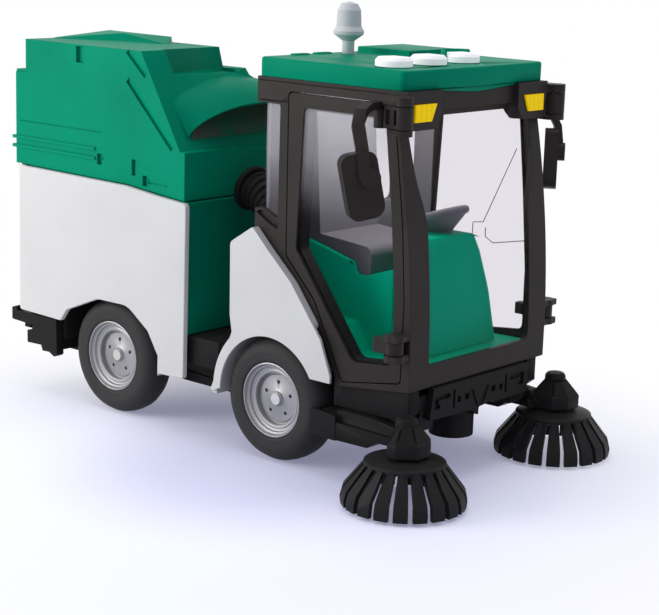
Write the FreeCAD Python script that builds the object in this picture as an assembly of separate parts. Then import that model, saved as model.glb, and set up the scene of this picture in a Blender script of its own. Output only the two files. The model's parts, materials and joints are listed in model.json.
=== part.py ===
import FreeCAD
import Part
import math
import os

# Toy street sweeper truck, millimetres.
# Modelled with x = 0 at the rear axle, x forward, y to the left, z up from the floor.
# export() then moves everything so that the origin is the middle of the box on the floor.

V = FreeCAD.Vector

# Wheels and axles
WHEELBASE = 101.2
TYRE_R = 27.0
TYRE_INNER_Y = 31.0
FRONT_TYRE_OUTER_Y = 48.6
REAR_TYRE_OUTER_Y = 47.2
RIM_R = 16.2
AXLE_R = 2.5
AXLE_PLAY = 0.06
AXLE_SUNK = 3.6
ARCH_R = 29.4

# Body widths, as half widths
CAB_HALF = 46.7
PANEL_HALF = 50.3
TUB_HALF = 47.6
HOPPER_HALF = 48.0
SPINE_HALF = 27.5

# Heights
CHASSIS_BOTTOM = 18.0
CHASSIS_TOP = 45.6
TUB_BOTTOM = 46.0
ROOF_BOTTOM = 162.8
ROOF_TOP = 170.7

# Lengths
TUB_REAR = -62.0
TUB_FRONT = 50.0
CAB_REAR = 88.6
ROOF_FRONT = 167.0
CAB_NOSE = 173.9
WALL = 2.2

# Hopper
HOPPER_REAR = -66.0
DECK_Z = 167.8
LEDGE_Z = 153.6
DROP_Y = 2.9
DROP_FOOT_Y = 4.3
SHELF_LEFT = 11.9
SHELF_Z = 158.5
RECESS_RIGHT = -33.8
LEDGE_FRONT_Z = 156.8
HOOD_Y = -0.5
HINGE_X = -66.4
HINGE_Z = 111.4
KNUCKLE_R = 2.2
HINGE_PIN_R = 0.9
FIXED_KNUCKLES = ((-32, -20.4), (-7.6, 7.6), (20.4, 32))

# Side brushes; the pod above each one holds its pin
BRUSH_X = 177.8
BRUSH_Y = 51.8
BRUSH_R = 25.3
BRUSH_HUB_R = 16.5
BRUSH_FLOOR_GAP = 1.3
TINES = 20
BRUSH_PIN_R = 2.0
POD_BOTTOM = 22.0
KNOB_R = 4.5

# Chassis corners beside the front bumper, and the suction pipe under it
CORNER_OUTER_Y = 44.0
CORNER_INNER_Y = 37.5
NOZZLE_X = 161.0
NOZZLE_R = 9.4

# Roof push-buttons, x and y of each
BUTTON_R = 7.5
BUTTONS = ((150.5, -34.7), (150.5, -12.7), (150.5, 9.3))

# Mirrors
MIRROR_X = 160.5
MIRROR_Y = 64.0
MIRROR_TOE = 34.0
MIRROR_LEAN = 12.0

# Doors
DOOR_GAP = 0.5
DOOR_HINGE_X = 170.0
DOOR_HINGE_Y = 51.5
DOOR_PIN_R = 1.0

# Cab interior: back panel, seat between the walls of its pedestal, console in front
PANEL_FRONT = 93.4
SEAT_RIGHT = -20.8
SEAT_LEFT = 18.0
SEAT_FLOOR = 78.0
CONSOLE_REAR = 145.0
WHEEL_R = 11.0

# Tow eye on the rear bumper
TOW_X = -65.0
TOW_Z = 29.0
TOW_THICK = 4.0
TOW_EYE_R = 1.6

# Ends of the whole toy along x
REAR_TIP = -68.6
FRONT_TIP = BRUSH_X + BRUSH_R
SHIFT_X = -(REAR_TIP + FRONT_TIP) / 2

SIDES = (("right", -1), ("left", 1))


# ---------------------------------------------------------------- helpers

def box(x0, x1, y0, y1, z0, z1):
    return Part.makeBox(x1 - x0, y1 - y0, z1 - z0, V(x0, y0, z0))


def rod(start, end, radius):
    a, b = V(*start), V(*end)
    return Part.makeCylinder(radius, (b - a).Length, a, b - a)


def flip(shape):
    return shape.mirror(V(0, 0, 0), V(0, 1, 0))


def on_side(shape, side):
    # shapes are drawn on the right, at negative y
    return flip(shape) if side > 0 else shape


def rounded_wire(corners, place):
    # corners: (u, v) or (u, v, radius); place maps (u, v) to a point in space
    edges = []
    count = len(corners)
    entries, exits = [], []
    for i, corner in enumerate(corners):
        here = V(corner[0], corner[1], 0)
        radius = corner[2] if len(corner) > 2 else 0
        before = V(*corners[i - 1][:2], 0) - here
        after = V(*corners[(i + 1) % count][:2], 0) - here
        before.normalize()
        after.normalize()
        half = before.getAngle(after) / 2
        cut = radius / math.tan(half)
        entries.append(here + before * cut)
        exits.append(here + after * cut)
        if radius:
            inward = before + after
            inward.normalize()
            middle = here + inward * (radius / math.sin(half) - radius)
            arc = [place(p.x, p.y) for p in (entries[-1], middle, exits[-1])]
            edges.append(Part.Arc(*arc).toShape())
    for i in range(count):
        a, b = exits[i], entries[(i + 1) % count]
        if (b - a).Length > 1e-6:
            edges.append(Part.LineSegment(place(a.x, a.y), place(b.x, b.y)).toShape())
    return Part.Wire(Part.__sortEdges__(edges))


def plate_y(corners, y0, y1):
    # an outline in x and z, with thickness along y
    face = Part.Face(rounded_wire(corners, lambda u, v: V(u, y0, v)))
    return face.extrude(V(0, y1 - y0, 0))


def plate_x(corners, x0, x1):
    # an outline in y and z, with thickness along x
    face = Part.Face(rounded_wire(corners, lambda u, v: V(x0, u, v)))
    return face.extrude(V(x1 - x0, 0, 0))


def plate_z(corners, z0, z1):
    # an outline in x and y, with thickness along z
    face = Part.Face(rounded_wire(corners, lambda u, v: V(u, v, z0)))
    return face.extrude(V(0, 0, z1 - z0))


def turned(profile, centre, axis):
    # profile: (radius, height) outline turned about an axis through centre
    points = [V(r, 0, h) for r, h in profile]
    face = Part.Face(Part.makePolygon(points + points[:1]))
    solid = face.revolve(V(0, 0, 0), V(0, 0, 1), 360)
    solid.Placement = FreeCAD.Placement(V(*centre), FreeCAD.Rotation(V(0, 0, 1), V(*axis)))
    return solid


def fused(shapes):
    first, *others = shapes
    return first.fuse(others).removeSplitter() if others else first


def soften(shape, radius, chosen):
    edges = [e for e in shape.Edges if chosen(e)]
    return shape.makeFillet(radius, edges)


# ---------------------------------------------------------------- wheels

def tyre(centre, outward, width):
    # tread radius at the middle, rounded shoulders, bead against the rim
    profile = ((RIM_R, 0.8), (20.0, 0.0), (24.6, 0.5), (26.5, 2.2), (TYRE_R, 4.6),
               (TYRE_R, width - 4.6), (26.5, width - 2.2), (24.6, width - 0.5),
               (20.0, width), (RIM_R, width - 0.8))
    return turned(profile, centre, outward)


def rim(centre, outward, width):
    # stepped rings around a sunk disc with five round holes and a raised cap
    face = width - 0.8
    profile = ((AXLE_R, 1.0), (RIM_R, 1.0), (RIM_R, face), (15.5, face), (15.2, face - 0.9),
               (14.9, face - 1.5), (14.1, face - 1.7), (13.8, face - 2.6), (11.6, face - 2.8),
               (11.2, face - 5.2), (10.4, face - 4.6), (3.4, face - 4.4), (3.0, face - 3.2),
               (AXLE_R, face - 2.9))
    body = turned(profile, (0, 0, 0), (0, 0, 1))
    holes = [Part.makeCylinder(0.9, width, V(7.2 * math.cos(t), 7.2 * math.sin(t), 0))
             for t in [math.radians(90 + 72 * k) for k in range(5)]]
    body = body.cut(Part.makeCompound(holes))
    body.Placement = FreeCAD.Placement(V(*centre), FreeCAD.Rotation(V(0, 0, 1), V(*outward)))
    return body


def axle(x, half):
    return rod((x, -half, TYRE_R), (x, half, TYRE_R), AXLE_R)


def wheel_nodes():
    nodes = {}
    axles = (("front", WHEELBASE, FRONT_TYRE_OUTER_Y), ("rear", 0.0, REAR_TYRE_OUTER_Y))
    for name, x, outer in axles:
        width = outer - TYRE_INNER_Y
        for side_name, side in SIDES:
            centre = (x, side * TYRE_INNER_Y, TYRE_R)
            nodes[f"{name}_tyre_{side_name}"] = tyre(centre, (0, side, 0), width)
            nodes[f"{name}_rim_{side_name}"] = rim(centre, (0, side, 0), width)
        nodes[f"{name}_axle"] = axle(x, outer - AXLE_SUNK)
    return nodes


# ---------------------------------------------------------------- chassis

def chassis():
    # black frame: middle box between the wheels, ends over and behind them, front corner blocks
    blocks = [
        box(-58, 140, -SPINE_HALF, SPINE_HALF, CHASSIS_BOTTOM, CHASSIS_TOP),
        box(140, 172.4, -CORNER_INNER_Y, CORNER_INNER_Y, 31, 41.0),
        box(-58, -33, -46, 46, 29, CHASSIS_TOP),
        box(34, 68, -46, 46, 33, CHASSIS_TOP),
        box(74, 140, -28.5, 28.5, CHASSIS_TOP - 1, 49.0),
    ]
    corner = plate_y([(133, 44), (133, 31), (168.6, 31), (172.4, 34.0, 1), (172.4, 44.2)],
                     -CORNER_OUTER_Y, -CORNER_INNER_Y)
    foot = plate_x([(-41.3, 31), (-34.5, 26), (-27, 26), (-27, 31)], 150, 172.0)
    blocks += [on_side(shape, side) for shape in (corner, foot) for _, side in SIDES]
    body = fused(blocks)
    for x in (0, WHEELBASE):
        body = body.cut(rod((x, -60, TYRE_R), (x, 60, TYRE_R), AXLE_R + AXLE_PLAY))
    return body.cut(cab_solid(0))


def rear_bumper():
    # stepped black side plates with a hook under a long arm, tied across behind the tub
    arm = [(-67.3, 33.6, 0.6), (-67.3, 39.4, 0.6), (-63.8, 40.6, 0.4), (-61.2, 38.6), (-35.0, 38.2, 0.6),
           (-34.4, 21.5, 0.6), (-36.5, 20.3, 0.6), (-40.0, 22.0), (-44.8, 21.8), (-46.0, 24.4),
           (-56.0, 24.0, 0.8), (-56.0, 30.0, 0.4), (-52.0, 31.0, 0.6), (-52.0, 33.0, 0.4)]
    plates = [on_side(plate_y(arm, -PANEL_HALF, -46.2), side) for _, side in SIDES]
    plates = [plate.cut(box(-63.6, -30, -60, 60, 38.3, 50)) for plate in plates]
    tie = box(-62.4, -58, -46.5, 46.5, 30, 38)
    blocks = [on_side(box(-58, -35, -46.5, -SPINE_HALF, 23.4, 29), side) for _, side in SIDES]
    tongue = plate_z([(-60, -8), (-60, 8), (-68.5, 4.5, 3), (-68.5, -4.5, 3)], TOW_Z, TOW_Z + TOW_THICK)
    eye = rod((TOW_X, 0, TOW_Z - 1), (TOW_X, 0, TOW_Z + TOW_THICK + 1), TOW_EYE_R)
    return fused([*plates, *blocks, tie, tongue]).cut(eye)


def rear_panel(side):
    # white side panel with a wheel arch and a low front corner
    outline = [(-63.3, 108.9, 1), (-61.6, 39.2, 1.5), (-31.9, 38.6, 2), (-27.5, 44.6, 4),
               (-6.2, 53.2, 12), (13.8, 53.4, 12), (27.4, 44.2, 5), (34.0, 34.0, 3),
               (35.0, 23.8, 1), (50.6, 26.7, 1.5), (50.9, 104.4, 2), (31.9, 105.9, 6),
               (12.3, 107.9, 20)]
    return on_side(plate_y(outline, -PANEL_HALF, -TUB_HALF), side)


# ---------------------------------------------------------------- hopper

def seam(z_drop):
    # the joint between tub and hopper, from the rear to the front
    return [(HOPPER_REAR, 109.4 - z_drop), (12.3, 108.3 - z_drop), (TUB_FRONT, 104.9 - z_drop)]


def tub():
    top = seam(0.4)
    rear_top = (TUB_REAR, top[0][1])

    def hollow(wall):
        low = TUB_BOTTOM + wall
        outline = [(TUB_REAR + wall, low), (TUB_FRONT - wall, low),
                   (TUB_FRONT - wall, top[2][1] + wall), (top[1][0], top[1][1] + wall),
                   (TUB_REAR + wall, rear_top[1] + wall)]
        solid = plate_y(outline, -TUB_HALF + wall, TUB_HALF - wall)
        for side in (-1, 1):
            y0, y1 = sorted((side * (TYRE_INNER_Y - 2.0 - wall), side * 60))
            solid = solid.cut(box(-30.5 - wall, 31.0 + wall, y0, y1, 30, 57 + wall))
        return solid

    outer = hollow(0)
    body = outer.cut(hollow(WALL))
    brackets = []
    for y0, y1 in FIXED_KNUCKLES:
        brackets.append(box(HINGE_X - KNUCKLE_R, TUB_REAR, y0, y1, 100, 107.6))
        brackets.append(box(HINGE_X - KNUCKLE_R, HINGE_X + KNUCKLE_R, y0, y1, 107, HINGE_Z))
        brackets.append(rod((HINGE_X, y0, HINGE_Z), (HINGE_X, y1, HINGE_Z), KNUCKLE_R))
    pin_hole = rod((HINGE_X, -40, HINGE_Z), (HINGE_X, 40, HINGE_Z), HINGE_PIN_R)
    return fused([body, *brackets]).cut(pin_hole)


def hopper_outline(wall):
    # side view of the hopper, wall thickness inside the outer skin
    base = seam(0)
    drop = 1 if wall else 0
    return [(HOPPER_REAR + wall, base[0][1] - drop), (base[1][0], base[1][1] - drop),
            (47.6 - wall, base[2][1] + 0.2 - drop), (47.6 - wall, 126.0 - 0.5 * wall),
            (44.6 - 1.2 * wall, 126.4 - 0.5 * wall), (19.6 - 0.5 * wall, DECK_Z - wall),
            (-58.8 + wall, DECK_Z - wall), (-58.8 + wall, LEDGE_Z - wall),
            (HOPPER_REAR + wall, LEDGE_Z - wall)]


def far_bevel(wall):
    # what the lower left half takes off the hopper: a steep drop, a narrow shelf and a sloping shoulder
    points = [(DROP_Y - wall, 175), (DROP_Y - wall, DECK_Z - wall), (DROP_FOOT_Y - wall, SHELF_Z - wall),
              (SHELF_LEFT - wall, SHELF_Z - wall), (SHELF_LEFT + 0.8 - wall, 155.4 - wall),
              (17 - wall, 152.8 - wall), (HOPPER_HALF + 0.1 - wall, 146.5 - wall), (60, 146.5 - wall), (60, 175)]
    return plate_x(points, -80, 60)


def brow_recess(wall):
    # the recess under the front edge of the deck, with a ledge at its foot
    points = [(16.9 - wall, 175), (16.9 - wall, DECK_Z), (18.6 - wall, LEDGE_FRONT_Z - wall),
              (40, LEDGE_FRONT_Z - wall), (40, 175)]
    return plate_y(points, RECESS_RIGHT - wall, DROP_FOOT_Y + wall)


def slope_x(z):
    # where the sloping front of the hopper is at a height
    return 19.6 + (DECK_Z - z) * (44.6 - 19.6) / (DECK_Z - 126.4)


def hood():
    # wide scoop over the air inlet: sections along x, each an arch over the slope
    stations = ((slope_x(155.6), 14, 155.7, 155.0), (slope_x(150.5), 31, 154.8, 149.8),
                (slope_x(146.8), 41.5, 153.4, 146.4), (slope_x(139), 40.4, 151.4, 138.0),
                (slope_x(131), 38.6, 149.0, 131.0), (46.8, 31.0, 147.2, 136.6), (50.0, 21.0, 146.2, 140.6))
    wires = []
    for x, half, crest, foot in stations:
        rise = crest - foot
        arch = [(-half, foot), (-0.94 * half, foot + 0.42 * rise), (-0.72 * half, foot + 0.80 * rise),
                (-0.38 * half, foot + 0.96 * rise), (0, crest)]
        points = arch + [(-y, z) for y, z in reversed(arch[:-1])]
        wires.append(Part.makePolygon([V(x, y + HOOD_Y, z) for y, z in points + points[:1]]))
    body = Part.makeLoft(wires, True, True)
    mouth = plate_y([(38.8, 133.4), (42.4, 133.4), (49.2, 141.6), (47.2, 144.0), (40.6, 146.0)], -30, 28)
    return body.cut(mouth)


def hopper():
    outer = plate_y(hopper_outline(0), -HOPPER_HALF, HOPPER_HALF)
    outer = outer.cut(Part.makeCompound([far_bevel(0), brow_recess(0)]))
    inner = plate_y(hopper_outline(WALL), -HOPPER_HALF + WALL, HOPPER_HALF - WALL)
    inner = inner.cut(Part.makeCompound([far_bevel(WALL), brow_recess(WALL)]))
    shell = outer.cut(inner)
    parts = [shell, deck_ridge()]
    beads = []
    for z in (121.8, 117.6):
        loop = box(-68.0, -10, -48.7, 48.7, z - 0.7, z + 0.7)
        beads.append(loop.cut(box(-64, 0, -47, 47, 100, 130)))
    parts += beads
    for y0, y1 in ((-20, -8), (8, 20)):
        parts.append(rod((HINGE_X, y0, HINGE_Z), (HINGE_X, y1, HINGE_Z), KNUCKLE_R))
    body = fused(parts)
    notches = [box(-72, -60, y0 - 0.4, y1 + 0.4, 100, HINGE_Z + KNUCKLE_R + 0.6)
               for y0, y1 in FIXED_KNUCKLES]
    pin_hole = rod((HINGE_X, -40, HINGE_Z), (HINGE_X, 40, HINGE_Z), HINGE_PIN_R + AXLE_PLAY)
    return body.cut(Part.makeCompound([*notches, pin_hole]))


def scoop():
    slope = plate_y([(-30, DECK_Z), (19.6, DECK_Z), (44.6, 126.4), (47.6, 126.0), (47.6, 100), (-30, 100)],
                    -60, 60)
    return hood().cut(slope)


def deck_ridge():
    # raised hatch on the rear of the deck: a cliff on its right and a long ramp in front
    low = [(-57.4, -33.6), (-27.5, -10.3), (-4.0, -10.0), (-13.9, 2.7), (-57.4, 2.7)]
    base = [V(x, y, DECK_Z) for x, y in low]
    top = [V(-57.4, -31.0, DECK_Z + 0.4), V(-34.4, -10.0, DECK_Z + 3.2), V(-14.2, 2.6, DECK_Z + 2.5),
           V(-57.4, 2.6, DECK_Z + 2.8)]
    right, tip, foot, corner, rear = base
    rise, crest, drop, back = top
    faces = [(right, rear, corner, foot, tip), (right, tip, crest), (right, crest, rise), (tip, foot, crest),
             (crest, foot, drop), (foot, corner, drop), (corner, rear, back), (corner, back, drop),
             (rear, right, rise), (rear, rise, back), (rise, crest, back), (crest, drop, back)]
    shell = Part.makeShell([Part.Face(Part.makePolygon([*face, face[0]])) for face in faces])
    return Part.makeSolid(shell)


def hinge_pin():
    return rod((HINGE_X, -31.8, HINGE_Z), (HINGE_X, 31.8, HINGE_Z), HINGE_PIN_R)


def hose():
    # suction elbow from the front of the hopper down to the back of the cab
    start, bend, end = V(53.0, -12, 108.4), V(70, -14, 108), V(CAB_REAR, -18, 84)
    radius = 13.0
    before = (start - bend)
    after = (end - bend)
    before.normalize()
    after.normalize()
    half = before.getAngle(after) / 2
    cut = radius / math.tan(half)
    inward = before + after
    inward.normalize()
    middle = bend + inward * (radius / math.sin(half) - radius)
    p, q = bend + before * cut, bend + after * cut
    path = Part.Wire([Part.LineSegment(start, p).toShape(), Part.Arc(p, middle, q).toShape(),
                      Part.LineSegment(q, end + after * 3).toShape()])
    circle = Part.Wire([Part.Circle(start, bend - start, 8.8).toShape()])
    tube = path.makePipeShell([circle], True, False)
    tube = tube.cut(box(CAB_REAR, CAB_REAR + 40, -60, 60, 40, 150))
    collar = Part.makeCylinder(10.2, 2.4, start, bend - start)
    return fused([tube, collar])


# ---------------------------------------------------------------- cab

def cab_outline(wall):
    # side view of the cab below the roof: back, stepped floor and sloping sill
    return [(CAB_REAR + wall, ROOF_BOTTOM - wall), (CAB_REAR + wall, 60), (100, 60), (126, 60),
            (137.3, 40.4 + wall), (CAB_NOSE - wall, 44.6 + wall)]


def cab_nose(wall):
    # three points of the curved front: foot, middle and brow
    return (CAB_NOSE - wall, 60.0), (170.9 - wall, 106.0), (163.5 - wall, 150.0)


def cab_solid(wall):
    foot, middle, brow = [V(x, 0, z) for x, z in cab_nose(wall)]
    points = [V(x, 0, z) for x, z in cab_outline(wall)]
    top_front = V(brow.x, 0, ROOF_BOTTOM - wall)
    edges = [Part.LineSegment(p, q).toShape() for p, q in zip(points, points[1:])]
    edges.append(Part.LineSegment(points[-1], foot).toShape())
    edges.append(Part.Arc(foot, middle, brow).toShape())
    edges.append(Part.LineSegment(brow, top_front).toShape())
    edges.append(Part.LineSegment(top_front, points[0]).toShape())
    half = CAB_HALF - wall
    face = Part.Face(Part.Wire(edges))
    face.translate(V(0, -half, 0))
    return face.extrude(V(0, 2 * half, 0))


def door_outline(grow):
    return [(106.3 - grow, 157.4 + grow, 2), (107.0 - grow, 90.4 - grow, 3), (123.3 - grow, 74 - grow, 12),
            (139.3 - grow, 42.6 - grow, 2), (169.4 + grow, 47.8 - grow, 2), (169.8 + grow, 80, 0),
            (167.6 + grow, 110, 0), (163.6 + grow, 140, 0), (160.6 + grow, 157.4 + grow, 2)]


def window_outline():
    return [(114.6, 151.9, 2), (112.0, 93.4, 4), (144.6, 51.6, 5), (164.9, 54.0, 3), (165.0, 81),
            (162.0, 115), (157.2, 151.9, 2)]


def quarter_outline():
    return [(93.8, 152.2, 1.2), (93.8, 108.0, 1.0), (101.6, 104.6, 1.0), (101.6, 152.2, 1.2)]


def quarter_pocket():
    return [(89.4, 106.2), (91.6, 107.4), (94.0, 107.0), (101.7, 103.6), (101.5, 100.4), (97.3, 101.9)]


def screen_outline():
    return [(-34.2, 53.6, 3), (34.2, 53.6, 3), (34.2, 112, 40), (39.7, 129, 60), (41.4, 147.4, 1),
            (29.6, 147.4, 2), (25.0, 152.0, 1), (-25.0, 152.0, 1), (-29.6, 147.4, 2), (-41.4, 147.4, 1),
            (-39.7, 129, 60), (-34.2, 112, 40)]


def back_outline():
    # the rear window lies on the left; the hose takes the right
    return [(-8, 103.5, 3), (42, 103.5, 3), (42, 152, 3), (-8, 152, 3)]


def lamp_outline(grow):
    # slanted inner end, seen from the front
    return [(-43.4 - grow, 150.8 - grow), (-43.4 - grow, 157.8 + grow), (-29.8 + grow, 157.8 + grow),
            (-32.8 + grow, 150.8 - grow)]


def cab_frame():
    shell = cab_solid(0).cut(cab_solid(WALL))
    brow = [plate_x([(-46.7, ROOF_BOTTOM), (-46.7, 147.6), (-30.0, 147.6), (-26, 152.0), (-26, ROOF_BOTTOM)],
                    156, 168.4)]
    brow.append(flip(brow[0]))
    brow = [b.cut(cab_solid(WALL)) for b in brow]
    header = box(160, 165.6, -27, 27, 154.5, ROOF_BOTTOM)
    body = fused([shell, *brow, header.cut(cab_solid(WALL))])
    holes = []
    for _, side in SIDES:
        holes.append(on_side(plate_y(door_outline(DOOR_GAP), -60, -40), side))
        holes.append(on_side(plate_y(quarter_outline(), -60, -40), side))
        holes.append(on_side(plate_y(quarter_pocket(), -60, -CAB_HALF + 1.4), side))
        holes.append(on_side(rod((WHEELBASE, -60, TYRE_R), (WHEELBASE, -28, TYRE_R), 33), side))
        holes.append(on_side(plate_x(lamp_outline(0), 167.0, 170), side))
    holes.append(plate_x(screen_outline(), 155, 180))
    holes.append(plate_x(back_outline(), 80, 95))
    # the right corner glass stands free at the back, with no post behind it
    holes.append(box(80, 95, -60, -39.5, 108.0, 152.2))
    body = body.cut(Part.makeCompound(holes))
    return fused([body, *[piece for _, side in SIDES for piece in door_hinge(side)]])


def door(side):
    # the front edge carries two hinge arms that reach round to the vertical pin
    shape = plate_y(door_outline(0), -CAB_HALF, -CAB_HALF + WALL)
    shape = shape.cut(plate_y(window_outline(), -60, -40))
    inner, outer = -DOOR_HINGE_Y + 1.0, -DOOR_HINGE_Y - 2.4
    arms = []
    rows = ((60.6, 65.6, 158.0, 168.4, 161.0), (149.0, 157.6, 154.6, 160.0, 162.0))
    for z0, z1, root_x, seat_x, block_x in rows:
        top = min(z1, 155.4)
        arms.append(box(root_x, seat_x, inner, -CAB_HALF, z0, top))
        arms.append(box(seat_x - 1, max(seat_x, block_x) + 0.5, inner, -CAB_HALF - 0.5, z0, top))
        arms.append(box(block_x, DOOR_HINGE_X, outer, -CAB_HALF - 0.5, z0, z1))
        arms.append(rod((DOOR_HINGE_X, -DOOR_HINGE_Y, z0), (DOOR_HINGE_X, -DOOR_HINGE_Y, z1), 3.6))
    arms.append(rod((157.0, -49.6, 148.4), (157.0, -49.6, 155.7), 2.7))
    slots = [box(x, x + 2.2, -60, outer + 0.9, 150.6, 156.2) for x in (163.0, 167.0)]
    body = fused([shape, *arms]).cut(Part.makeCompound(slots))
    hole = rod((DOOR_HINGE_X, -DOOR_HINGE_Y, 40), (DOOR_HINGE_X, -DOOR_HINGE_Y, 170), DOOR_PIN_R + AXLE_PLAY)
    return on_side(body.cut(hole), side)


def door_hinge(side):
    # fixed forks at the foot of the pillar and under the brow, each with its pin
    x, y = DOOR_HINGE_X, -DOOR_HINGE_Y
    forks = []
    for z0, z1, half, reach in ((57.6, 60.3, 4.2, 3.6), (65.9, 68.4, 4.2, 3.6)):
        forks.append(rod((x, y, z0), (x, y, z1), half))
        forks.append(box(x + 0.6, x + reach, y - 4.0, -CAB_HALF, z0, z1))
    forks.append(rod((x, y, 58), (x, y, 68), DOOR_PIN_R))
    for z0, z1, start in ((146.4, 148.7, 163.8), (157.9, 161.4, 161.0)):
        forks.append(rod((x, y, z0), (x, y, z1), 3.6))
        forks.append(box(start, x, y - 2.4, -CAB_HALF, z0, z1))
    forks.append(rod((x, y, 147), (x, y, 161), DOOR_PIN_R))
    return [on_side(fused(forks[:5]), side), on_side(fused(forks[5:]), side)]


def door_glass(side):
    return on_side(plate_y(window_outline(), -CAB_HALF + 0.6, -CAB_HALF + 1.6), side)


def windscreen():
    band = cab_solid(0.6).cut(cab_solid(1.8))
    return band.common(plate_x(screen_outline(), 155, 180))


def side_glass():
    quarters = [on_side(plate_y(quarter_outline(), -CAB_HALF + 0.6, -CAB_HALF + 1.6), s) for s in (-1, 1)]
    back = plate_x(back_outline(), CAB_REAR + 0.6, CAB_REAR + 1.6)
    return Part.makeCompound([*quarters, back])


def cab_roof():
    # lid with bowed front edge, rear steps and a raised far rear corner
    top = [(CAB_REAR + 0.3, -CAB_HALF, 3), (CAB_REAR + 0.3, CAB_HALF, 3), (ROOF_FRONT - 1.0, CAB_HALF, 3),
           (ROOF_FRONT + 0.4, 0, 200), (ROOF_FRONT - 1.0, -CAB_HALF, 3)]
    slab = plate_z(top, ROOF_BOTTOM, ROOF_TOP)
    slab = soften(slab, 1.0, lambda e: min(v.Z for v in e.Vertexes) > ROOF_TOP - 0.1)
    visor = plate_x([(-25.8, ROOF_BOTTOM + 0.5), (-25.8, ROOF_BOTTOM - 0.6), (0, ROOF_BOTTOM - 2.4, 90),
                     (25.8, ROOF_BOTTOM - 0.6), (25.8, ROOF_BOTTOM + 0.5)], 165.9, ROOF_FRONT - 0.4)
    parts = [slab, visor, box(92, 121, 12, 43, ROOF_TOP - 0.5, ROOF_TOP + 2.4)]
    for y in (-30, -16):
        parts.append(box(91, 94, y, y + 9, ROOF_TOP - 0.5, ROOF_TOP + 0.7))
    x, y = BUTTONS[2]
    collar = Part.makeCylinder(8.6, 5.4, V(x, y, ROOF_TOP - 0.4))
    parts.append(collar.cut(box(x - 2, x + 20, y - 20, y + 20, 160, 190)))
    body = fused(parts)
    sockets = [Part.makeCylinder(BUTTON_R + 0.1, 10, V(bx, by, ROOF_TOP - 0.2)) for bx, by in BUTTONS]
    return body.cut(Part.makeCompound(sockets))


def headlamps():
    lenses = [on_side(plate_x(lamp_outline(-0.1), 167.0, 169.2), side) for _, side in SIDES]
    return Part.makeCompound(lenses)


def beacon():
    profile = ((0, 0), (2.6, 0), (2.6, 5.4), (6.4, 8.2), (6.6, 9.6), (5.4, 11.6), (5.0, 18.4),
               (3.6, 21.0), (0, 22.0))
    return turned(profile, (97, 0, ROOF_TOP), (0, 0, 1))


def roof_buttons():
    base = ROOF_TOP - 0.2
    profile = ((0, 0), (BUTTON_R, 0), (BUTTON_R, 2.8), (BUTTON_R - 1.1, 4.0), (0, 4.6))
    return Part.makeCompound([turned(profile, (x, y, base), (0, 0, 1)) for x, y in BUTTONS])


def cab_tub():
    # footwell floor with a raised rear part, and the seat pedestal with low side walls
    floor = plate_y([(CAB_REAR + 3, 63), (CAB_REAR + 3, 61), (126, 61), (134.5, 49.0), (168.5, 50.0),
                     (168.5, 52.0), (135.5, 51.2), (127, 63)], -40, 40)
    profile = [(PANEL_FRONT, 62), (PANEL_FRONT, 93.9), (108.6, 90.6, 4), (122.8, 86.9, 1.5), (125.4, 81.9, 1.5),
               (130, 81.9, 2), (CONSOLE_REAR, 87.0), (CONSOLE_REAR, 51.6), (134.5, 51), (126, 62)]
    pedestal = plate_y(profile, SEAT_RIGHT - WALL, SEAT_LEFT + WALL)
    trough = box(PANEL_FRONT - 1, CONSOLE_REAR + 1, SEAT_RIGHT, SEAT_LEFT, SEAT_FLOOR, 100)
    return fused([floor, pedestal.cut(trough)])


def console():
    # dashboard pedestal, wider at the foot, its front face leaning back above a crease
    outline = [(SEAT_RIGHT - WALL, 52.2), (28.3, 52.2), (22.8, 75.3, 60), (15.9, 92.6, 2), (13.6, 100, 2.5),
               (-20.5, 101, 1.5)]
    side_view = plate_y([(CONSOLE_REAR, 50), (161.6, 50), (160.2, 92.8), (157.6, 102), (CONSOLE_REAR, 102)],
                        -40, 40)
    return plate_x(outline, CONSOLE_REAR, 165).common(side_view)


def seat():
    # bucket seat on a back panel that lines the rear wall round its window
    panel = plate_x([(-43, 63), (43, 63), (43, 155, 4), (-43, 155, 4)], CAB_REAR + 3, PANEL_FRONT)
    inner = SEAT_LEFT + 0.6
    opening = [(inner, 103.5, 2), (42, 103.5, 2), (42, 152, 2), (inner, 152, 2)]
    panel = panel.cut(plate_x(opening, 80, 100))
    low, high = SEAT_RIGHT + 0.1, SEAT_LEFT - 0.1
    cushion = plate_y([(PANEL_FRONT, SEAT_FLOOR), (130.4, SEAT_FLOOR), (131.4, 93.6, 4), (102, 95.8)],
                      low, high)
    back = plate_y([(PANEL_FRONT, 90), (103, 90), (98.5, 148.5, 3.5), (PANEL_FRONT, 150)], low, high)
    return fused([panel, cushion, back])


def steering_wheel():
    # rim with a dished middle on a short column
    dish = turned(((0, -3.6), (WHEEL_R - 1.4, -0.4), (WHEEL_R, -1.6), (3.4, -7.6), (3.4, -16), (0, -16)),
                  (0, 0, 0), (0, 0, 1))
    wheel = fused([Part.makeTorus(WHEEL_R, 1.7, V(0, 0, 0), V(0, 0, 1)), dish])
    wheel.Placement = FreeCAD.Placement(V(147, 4, 107), FreeCAD.Rotation(V(0, 1, 0), -20))
    return wheel.cut(console())


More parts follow.
